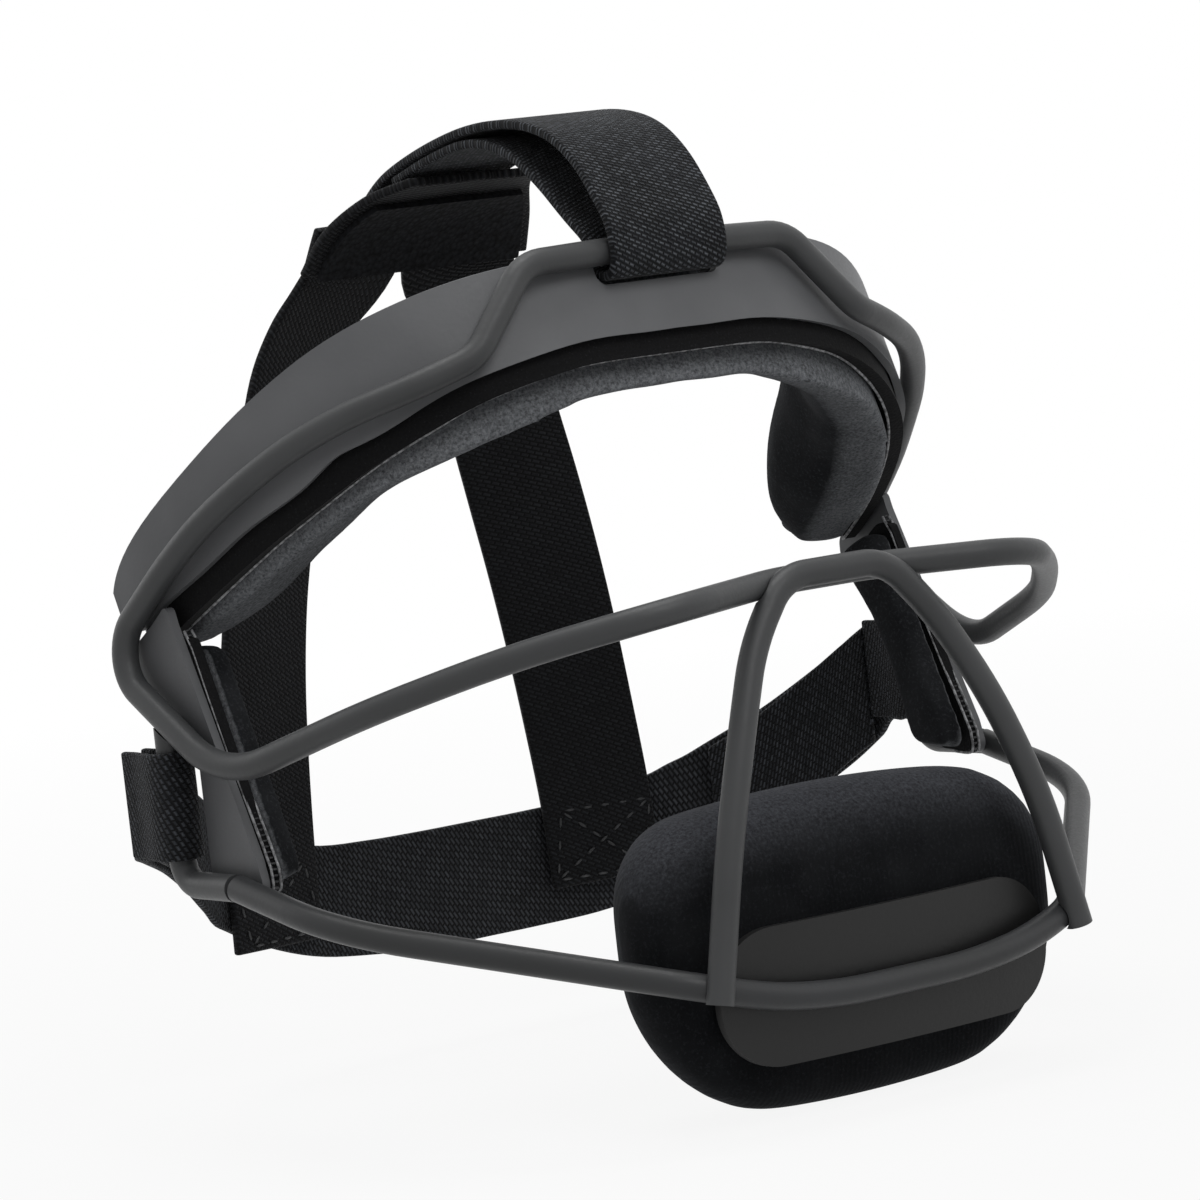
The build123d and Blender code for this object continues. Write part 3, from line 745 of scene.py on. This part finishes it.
class GUARD_OT_plates(bpy.types.Operator):
    """Coats the brow, side and chin plates"""
    bl_idname = "guard.plates"
    bl_label = "Coat the plates"

    def execute(self, context):
        for name in ["brow_plate", "left_side_plate", "right_side_plate"]:
            # The brow and side plates get a paler copy of the coat, which is painted light
            coat(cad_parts[name], "plate")
        # The chin plate gets a much darker copy of the coat, which is painted shade
        coat(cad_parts["chin_plate"], "chin_plate")
        return {"FINISHED"}


class GUARD_OT_backings(bpy.types.Operator):
    """Covers the backing boards and the hook and loop patches"""
    bl_idname = "guard.backings"
    bl_label = "Cover the backings"

    def execute(self, context):
        coat(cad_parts["forehead_backing"], "board")
        for side, sign in SIDES:
            node = side + "_cheek_backing"
            piece = into_scene(merged(node), side + "_cheek_board", "board", smooth=False)
            drawn_up(piece)
            belongs(piece, "cage", "backing_board", node)
        for name in ["chin_hook_patch", "crown_loop_patch"]:
            coat(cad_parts[name], "patch")
        return {"FINISHED"}


CREASE_DEPTH = 0.00035
CREASE_RATE = Vector((90, 90, 40))  # creases per metre, fewer in height


class GUARD_OT_forehead_pad(bpy.types.Operator):
    """Makes the forehead pad, with its soft creases"""
    bl_idname = "guard.forehead_pad"
    bl_label = "Forehead pad"

    def execute(self, context):
        pad = padded_copy("forehead_pad", "brow_foam_pad", voxel=0.0018, pressure=1.2,
                          cap=0.0012, shrink=0.0007)
        for vert in pad.data.vertices:
            spot = vert.co.copy()
            crease = noise.noise(spot * CREASE_RATE)
            vert.co = spot + vert.normal * (CREASE_DEPTH * crease)
        finish_pad(pad, "brushed")
        belongs(pad, "cage", "pad_cloth", "forehead_pad")
        return {"FINISHED"}


class GUARD_OT_cheek_pads(bpy.types.Operator):
    """Makes both cheek pads"""
    bl_idname = "guard.cheek_pads"
    bl_label = "Cheek pads"

    def execute(self, context):
        for side, sign in SIDES:
            pad = padded_copy(
                side + "_cheek_pad", side + "_cheek_foam_pad", voxel=0.0011, pressure=1.0,
                cap=0.0008, shrink=0.0004)
            drawn_up(pad)
            finish_pad(pad, "brushed")
            belongs(pad, "cage", "pad_cloth", side + "_cheek_pad")
        return {"FINISHED"}


# The chin pad's height, as a share of its solid's: at its middle, and the loss at its ends
CHIN_MIDDLE, CHIN_ROUND = 1.06, 0.16


class GUARD_OT_chin_pad(bpy.types.Operator):
    """Makes the chin pad, taller at its middle than at its ends"""
    bl_idname = "guard.chin_pad"
    bl_label = "Chin pad"

    def execute(self, context):
        pad = padded_copy("chin_pad", "chin_foam_pad", voxel=0.0024, pressure=2.0, cap=0.002,
                          shrink=0.0012)
        low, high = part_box("chin_pad")
        middle = (low.z + high.z) / 2
        for vert in pad.data.vertices:
            share = vert.co.x / high.x
            vert.co.z = middle + (vert.co.z - middle) * (CHIN_MIDDLE - CHIN_ROUND * share * share)
        finish_pad(pad, "velvet")
        belongs(pad, "cage", "pad_cloth", "chin_pad")
        return {"FINISHED"}


# Middle line of the top strap at the middle plane: back and up, in mm. Its outer layer ends
# over the yoke, and its inner layer is the part that returns from the brow wire.
TOP_OUTER = [(-0.41, 9.0), (5.08, 16.5), (12.89, 22.25), (24.16, 25.0), (38.57, 25.0),
             (52.78, 22.5), (65.47, 19.0), (71.9, 16.2), (78.2, 11.7), (82.7, 6.0)]
TOP_INNER = [(9.74, 6.5), (17.86, 14.0), (26.59, 20.0), (38.57, 22.8), (52.78, 20.3),
             (65.47, 16.8)]


class GUARD_OT_top_strap(bpy.types.Operator):
    """Makes the top strap, round the brow wire and back under itself"""
    bl_idname = "guard.top_strap"
    bl_label = "Top strap"

    def execute(self, context):
        sizes = context.scene.guard_weave
        turn, hang = 3.55, 0.9  # mm round the brow wire, and how far it hangs under the wire
        points = [vec(0, y, z) for y, z in reversed(TOP_OUTER)]
        points += [vec(0, -turn, turn), vec(0, -turn, -turn - hang),
                   vec(0, turn, -turn - hang), vec(0, turn, turn / 2)]
        points += [vec(0, y, z) for y, z in TOP_INNER]
        run = eased(points, 6)
        sides, faces = wrapped(run, Vector((1, 0, 0)))
        widths = [sizes.strap_width] * len(run)
        piece = strap("top_elastic_strap", "coarse", run, sides, faces, widths,
                      sizes.strap_thickness, across=14)
        belongs(piece, "harness", "elastic_strap", "top_strap")
        return {"FINISHED"}


YOKE_THICKNESS = 0.0018
YOKE_ROWS = [
    # reach, height, width
    (56.84, 16.35, 28.45), (65.98, 13.85, 38.1), (74.1, 8.35, 47.75), (79.98, 1.1, 52.3),
]


class GUARD_OT_crown_yoke(bpy.types.Operator):
    """Makes the yoke that joins the top strap to the risers"""
    bl_idname = "guard.crown_yoke"
    bl_label = "Crown yoke"

    def execute(self, context):
        run = through([vec(0, y, z) for y, z, width in YOKE_ROWS], 6)
        wide = widths_through([width for y, z, width in YOKE_ROWS], 6)
        sides, faces = directions(run, [Vector((0, 1, 1))] * len(run))
        piece = strap("crown_yoke_cloth", "twill", run, sides, faces, wide,
                      YOKE_THICKNESS, across=16, wave=0.0006, seed=3.7)
        belongs(piece, "harness", "elastic_strap", "crown_yoke")
        return {"FINISHED"}


RISER_ROWS = [
    # x, y, z, outward, width
    (12.10, 76.84, 9.69, 0.04, 0.69, 0.72, 23.3), (12.55, 83.84, 0.85, 0.12, 0.79, 0.61, 23.8),
    (16.30, 88.10, -5.50, 0.20, 0.84, 0.52, 22.2),
    (20.30, 91.25, -11.79, 0.26, 0.90, 0.36, 21.3),
    (23.39, 93.28, -20.04, 0.29, 0.97, 0.20, 22.1),
    (26.23, 94.50, -31.96, 0.29, 0.96, 0.10, 22.9),
    (29.50, 95.21, -45.98, 0.30, 0.95, 0.03, 23.4),
    (32.51, 95.82, -60.00, 0.31, 0.95, 0.00, 23.4),
    (35.00, 96.02, -75.06, 0.29, 0.96, 0.00, 23.4),
    (36.98, 95.82, -91.96, 0.26, 0.97, 0.00, 23.4),
    (38.53, 95.31, -110.04, 0.24, 0.97, 0.00, 23.4),
    (39.13, 95.11, -126.80, 0.24, 0.97, 0.00, 23.4),
]


class GUARD_OT_risers(bpy.types.Operator):
    """Makes the two riser straps"""
    bl_idname = "guard.risers"
    bl_label = "Riser straps"

    def execute(self, context):
        sizes = context.scene.guard_weave
        for side, sign in SIDES:
            run = flipped(through([vec(*row[:3]) for row in RISER_ROWS], 5), sign)
            outs = flipped(through([Vector(row[3:6]) for row in RISER_ROWS], 5), sign)
            wide = widths_through([row[6] for row in RISER_ROWS], 5)
            sides, faces = directions(run, outs)
            piece = strap(side + "_riser_elastic", "twill", run, sides, faces, wide,
                          sizes.strap_thickness, wave=0.00012, seed=sign)
            belongs(piece, "harness", "elastic_strap", side + "_riser_strap")
        return {"FINISHED"}


BACK_LEFT = [
    # across, back, up, width
    (85.87, 52.95, -90.9, 19.56), (85.87, 57.32, -90.9, 19.56), (85.70, 61.95, -93.27, 19.56),
    (81.15, 70.41, -99.82, 19.8), (72.99, 79.68, -107.42, 20.6), (62.69, 88.14, -114.23, 21.6),
    (56.67, 91.95, -117.25, 22.3), (50.66, 94.95, -119.47, 22.9),
    (38.64, 99.05, -121.83, 23.4), (25.76, 100.95, -122.49, 23.4), (12.88, 101.5, -122.6, 23.4),
]
BACK_MIDDLE = [(0.0, 101.5, -122.6, 23.4)]
BACK_RIGHT = [
    (85.87, 52.95, -90.9, 19.56), (85.87, 57.32, -90.9, 19.56), (85.70, 61.95, -91.05, 19.56),
    (83.12, 67.35, -91.7, 19.56), (77.97, 73.14, -93.27, 19.56), (70.41, 79.35, -96.42, 19.56),
    (62.94, 85.46, -100.87, 19.56), (56.67, 90.48, -105.59, 19.6),
    (50.66, 94.52, -110.30, 20.1), (38.64, 99.05, -116.33, 20.6), (25.76, 101.06, -120.5, 21.6),
    (12.88, 101.5, -121.96, 22.6),
]


class GUARD_OT_back_strap(bpy.types.Operator):
    """Makes the back strap, from one side loop round to the other"""
    bl_idname = "guard.back_strap"
    bl_label = "Back strap"

    def execute(self, context):
        sizes = context.scene.guard_weave
        rows = BACK_LEFT + BACK_MIDDLE + [(-row[0],) + row[1:] for row in reversed(BACK_RIGHT)]
        run, sides, faces = upright(through([vec(*row[:3]) for row in rows], 5))
        wide = widths_through([row[3] for row in rows], 5)
        piece = strap("back_elastic_strap", "back", run, sides, faces, wide,
                      sizes.strap_thickness)
        belongs(piece, "harness", "elastic_strap", "back_strap")
        return {"FINISHED"}


# The side webbing's turn round its bar, from above: across and back from the bar, in mm
LOOP_ROWS = [(2.1, 13), (2.1, 11), (2.1, 9), (2.55, 6), (3.2, 3), (3.45, 0), (2.44, -2.44),
             (0, -3.45), (-2.44, -2.44), (-3.45, 0), (-3.2, 3), (-2.55, 6), (-2.1, 9),
             (-2.1, 11), (-2.1, 13)]
BAR_X, BAR_Y, LOOP_TOP = 85.87, 46.95, -80.3


class GUARD_OT_side_loops(bpy.types.Operator):
    """Makes the side webbing round both strap bars"""
    bl_idname = "guard.side_loops"
    bl_label = "Side loops"

    def execute(self, context):
        sizes = context.scene.guard_weave
        middle = LOOP_TOP - sizes.webbing_width / MM / 2
        for side, sign in SIDES:
            points = [vec(BAR_X + x, BAR_Y + y, middle) for x, y in LOOP_ROWS]
            run = flipped(through(points, 4), sign)
            sides, faces = wrapped(run, Vector((0, 0, 1)))
            piece = strap(side + "_side_webbing", "basket", run, sides, faces,
                          [sizes.webbing_width] * len(run), sizes.webbing_thickness)
            belongs(piece, "cage", "webbing", side + "_side_loop")
        return {"FINISHED"}


# Where a tab leaves its loop, back in mm, and how far inside the strap it lies, in metres
TAB_START, TAB_INSET = 61.0, 0.00285


class GUARD_OT_pull_tabs(bpy.types.Operator):
    """Makes the free ends of the side webbing"""
    bl_idname = "guard.pull_tabs"
    bl_label = "Pull tabs"

    def execute(self, context):
        sizes = context.scene.guard_weave
        for side, sign in SIDES:
            rows, last = (BACK_LEFT, 6) if side == "left" else (BACK_RIGHT, 7)
            points = [vec(BAR_X, TAB_START, rows[2][2])]
            points += [vec(*row[:3]) for row in rows[3:last]]
            run, sides, faces = upright(through(points, 6), TAB_INSET)
            run, faces = flipped(run, sign), flipped(faces, sign)
            piece = strap(side + "_webbing_tab", "basket", run, sides, faces,
                          [sizes.webbing_width] * len(run), sizes.webbing_thickness)
            belongs(piece, side + "_tab", "webbing", side + "_pull_tab")
        return {"FINISHED"}


def whip_row(bm, run, across, outward, pitch, length, width):
    """Threads that pass over an edge, side by side along a run."""
    axes = (across, outward.cross(across).normalized(), outward)
    travelled, due = 0.0, 0.0
    for start, end in zip(run, run[1:]):
        step = end - start
        while due <= travelled + step.length:
            centre = start + step * ((due - travelled) / step.length)
            thread_bead(bm, centre, axes, (length, width, width))
            due += pitch
        travelled += step.length


# The front edge of the cheek boards, before they are drawn up, and the two sides of the boards
CHEEK_EDGE = [vec(0, y, z) for y, z in (
    (48.2, -63.2), (41.3, -75.0), (33.2, -88.0), (25.5, -99.6), (24.45, -102.5), (24.5, -105.0),
    (26.0, -105.7), (30.0, -105.5))]
BOARD_OUTER, BOARD_INNER = 81.2, 79.6
BROW_EDGE_RADIUS, CHEEK_EDGE_RADIUS = 0.00028, 0.00026


class GUARD_OT_pad_edges(bpy.types.Operator):
    """Adds the pale fused edges of the pads and the whip stitches of their backings"""
    bl_idname = "guard.pad_edges"
    bl_label = "Pad edges"

    def execute(self, context):
        line = through(brow_edge(PLATE_BOTTOM, inward=4.75, drop=4.3), 3)
        piece = thread_tube("brow_pad_edge", "edge", line, BROW_EDGE_RADIUS)
        belongs(piece, "cage", "pad_cloth")
        for side, sign in SIDES:
            bm = bmesh.new()
            edge = [cheek_top(p) for p in through(CHEEK_EDGE, 4)]
            for x, name in ((BOARD_OUTER, "outer"), (BOARD_INNER, "inner")):
                line = [p + vec(x * sign, -0.12, 0) for p in edge]
                piece = thread_tube(
                    side + "_cheek_edge_" + name, "edge", line, CHEEK_EDGE_RADIUS)
                belongs(piece, "cage", "pad_cloth")
            middle = (BOARD_OUTER + BOARD_INNER) / 2 * sign
            line = [p + vec(middle, -0.05, 0) for p in edge]
            whip_row(bm, line, Vector((1, 0, 0)), Vector((0, -1, 0)), pitch=0.0011,
                     length=0.0015, width=0.0005)
            piece = into_scene(bm, side + "_cheek_whip_stitches", "thread")
            belongs(piece, "cage", "backing_board")
        return {"FINISHED"}


# Middle of a riser's seam, in mm, how far it stands off the cloth, and half its box, in metres
SEAM_MIDDLE = (39.0, 95.15, -118.5)
SEAM_CLEAR, SEAM_HALF_WIDTH, SEAM_HALF_HEIGHT, SEAM_LEAN = 0.00102, 0.0096, 0.0068, 0.0012


class GUARD_OT_stitching(bpy.types.Operator):
    """Sews the risers to the back strap"""
    bl_idname = "guard.stitching"
    bl_label = "Stitching"

    def execute(self, context):
        for side, sign in SIDES:
            # A box and a cross on the riser's inner face, just clear of the cloth
            inner = Vector((-0.24 * sign, -0.97, 0)).normalized()
            across = Vector((0.97 * sign, -0.24, 0)).normalized()
            middle = flipped([vec(*SEAM_MIDDLE)], sign)[0] + inner * SEAM_CLEAR
            wide = across * SEAM_HALF_WIDTH
            tall = Vector((SEAM_LEAN * sign, 0, SEAM_HALF_HEIGHT))
            corners = [middle + wide + tall, middle - wide + tall, middle - wide - tall,
                       middle + wide - tall]
            lines = [(a, b, inner) for a, b in zip(corners, corners[1:] + corners[:1])]
            lines.append((corners[0], corners[2], inner))
            lines.append((corners[1], corners[3], inner))
            piece = stitches(side + "_riser_seam", lines)
            belongs(piece, "harness", "elastic_strap")
        return {"FINISHED"}


# The camera's place in metres, and its picture's directions
CAMERA_PLACE = (-0.5515, -0.7618, 0.01157)
CAMERA_ACROSS, CAMERA_UP = Vector((0.81049, -0.57494, -0.11201)), Vector((0.13691, 0, 0.99058))
AIM = Vector((0, 0.02, -0.06))  # where the lamps look
FLOOR_RADIUS, FLOOR_GAP = 6.0, 0.0005
WHITE_FROM = 0.9  # metres from the middle, past which the floor is as white as the world


class GUARD_OT_stage(bpy.types.Operator):
    """Makes the camera, floor and soft lights"""
    bl_idname = "guard.stage"
    bl_label = "Camera and lights"

    def execute(self, context):
        scene = context.scene
        stage = scene.guard_stage
        scene.view_settings.view_transform = "Standard"
        lens = bpy.data.cameras.new("photo_view")
        lens.lens = stage.lens
        lens.sensor_width = 36
        lens.clip_end = 20
        camera = bpy.data.objects.new("photo_view", lens)
        axes = (CAMERA_ACROSS, CAMERA_UP, CAMERA_ACROSS.cross(CAMERA_UP))
        camera.matrix_world = Matrix.Translation(CAMERA_PLACE) @ Matrix(axes).transposed().to_4x4()
        scene.collection.objects.link(camera)
        scene.camera = camera
        self.floor(scene)
        self.world(scene, stage)
        lamps = [
            ("key", (-0.1, -1.25, 1.25), stage.key_power, 0.9),
            ("fill", (1.2, -0.8, 0.5), stage.fill_power, 1.0),
            ("over", (0.0, 0.2, 1.6), stage.top_power, 1.1),
            ("behind", (-0.6, 1.3, 0.5), stage.fill_power, 0.8),
        ]
        for name, place, power, size in lamps:
            lamp = bpy.data.lights.new(name, "AREA")
            lamp.shape = "DISK"
            lamp.size = size
            lamp.energy = power
            holder = bpy.data.objects.new(name, lamp)
            holder.location = place
            aim = AIM - Vector(place)
            holder.rotation_euler = aim.to_track_quat("-Z", "Y").to_euler()
            scene.collection.objects.link(holder)
        return {"FINISHED"}

    def floor(self, scene):
        """A pale floor that looks near white, and whiter further off, and keeps the shadow."""
        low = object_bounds()[0].z
        bm = bmesh.new()
        bmesh.ops.create_circle(
            bm, cap_ends=True, segments=64, radius=FLOOR_RADIUS,
            matrix=Matrix.Translation((0, 0, low - FLOOR_GAP)))
        mesh = bpy.data.meshes.new("floor")
        bm.to_mesh(mesh)
        bm.free()
        ground = bpy.data.objects.new("floor", mesh)
        scene.collection.objects.link(ground)
        material = bpy.data.materials.new("pale_floor")
        material.use_nodes = True
        tree = material.node_tree
        tree.nodes.clear()
        paint = add(tree, "BsdfDiffuse", {"Color": "d0d0d0"})
        glow = add(tree, "Emission", {"Color": (1, 1, 1, 1), "Strength": 1.0})
        seen = self.seen(tree)
        place = add(tree, "TexCoord")
        middle = add(tree, "Mapping", {"Vector": place.outputs["Object"],
                                       "Scale": (1 / WHITE_FROM, 1 / WHITE_FROM, 1.0)})
        away = add(tree, "VectorMath", {0: middle.outputs["Vector"]}, operation="LENGTH")
        white = add(tree, "MapRange", {
            "Value": away.outputs["Value"], "From Min": 0.15, "From Max": 1.0,
            "To Min": 0.90, "To Max": 1.0})
        share = add(tree, "Math", {0: seen, 1: white.outputs["Result"]}, operation="MULTIPLY")
        mixed = add(tree, "MixShader", {0: share.outputs["Value"],
                                        1: paint.outputs["BSDF"], 2: glow.outputs["Emission"]})
        add(tree, "OutputMaterial", {"Surface": mixed.outputs["Shader"]})
        mesh.materials.append(material)
        ground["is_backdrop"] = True

    def world(self, scene, stage):
        """Even light all round, white where the camera or a reflection sees it."""
        world = bpy.data.worlds.new("studio")
        world.use_nodes = True
        scene.world = world
        tree = world.node_tree
        tree.nodes.clear()
        strength = add(tree, "MapRange", {
            "Value": self.seen(tree), "From Min": 0.0, "From Max": 1.0,
            "To Min": stage.sky, "To Max": 1.0})
        light = add(tree, "Background", {
            "Color": (1, 1, 1, 1), "Strength": strength.outputs["Result"]})
        add(tree, "OutputWorld", {"Surface": light.outputs["Background"]})

    def seen(self, tree):
        """A socket that is 1 where the camera, a reflection or something clear looks."""
        path = add(tree, "LightPath")
        looked = path.outputs["Is Camera Ray"]
        for ray in ("Is Glossy Ray", "Is Transmission Ray"):
            both = add(tree, "Math", {0: looked, 1: path.outputs[ray]}, operation="MAXIMUM")
            looked = both.outputs["Value"]
        return looked


class GUARD_PT_panel(bpy.types.Panel):
    """Lists the steps that dress the face guard"""
    bl_idname = "GUARD_PT_panel"
    bl_label = "Face Guard"
    bl_space_type = "VIEW_3D"
    bl_region_type = "UI"
    bl_category = "Face Guard"

    def draw(self, context):
        for group in (context.scene.guard_weave, context.scene.guard_colours,
                      context.scene.guard_stage):
            box = self.layout.box()
            for name in group.__annotations__:
                box.prop(group, name)
        for operator in OPERATORS:
            self.layout.operator(operator.bl_idname)


OPERATORS = [
    GUARD_OT_wires, GUARD_OT_plates, GUARD_OT_backings, GUARD_OT_forehead_pad,
    GUARD_OT_cheek_pads, GUARD_OT_chin_pad, GUARD_OT_top_strap, GUARD_OT_crown_yoke,
    GUARD_OT_risers, GUARD_OT_back_strap, GUARD_OT_side_loops, GUARD_OT_pull_tabs,
    GUARD_OT_pad_edges, GUARD_OT_stitching, GUARD_OT_stage,
]
GROUPS = [GuardWeave, GuardColours, GuardStage]


def register():
    for group in GROUPS + OPERATORS + [GUARD_PT_panel]:
        bpy.utils.register_class(group)
    bpy.types.Scene.guard_weave = bpy.props.PointerProperty(type=GuardWeave)
    bpy.types.Scene.guard_colours = bpy.props.PointerProperty(type=GuardColours)
    bpy.types.Scene.guard_stage = bpy.props.PointerProperty(type=GuardStage)


def unregister():
    del bpy.types.Scene.guard_weave
    del bpy.types.Scene.guard_colours
    del bpy.types.Scene.guard_stage
    for group in reversed(GROUPS + OPERATORS + [GUARD_PT_panel]):
        bpy.utils.unregister_class(group)


def main():
    register()
    for operator in OPERATORS:
        family, step = operator.bl_idname.split(".")
        getattr(getattr(bpy.ops, family), step)()


if __name__ == "__main__":
    main()
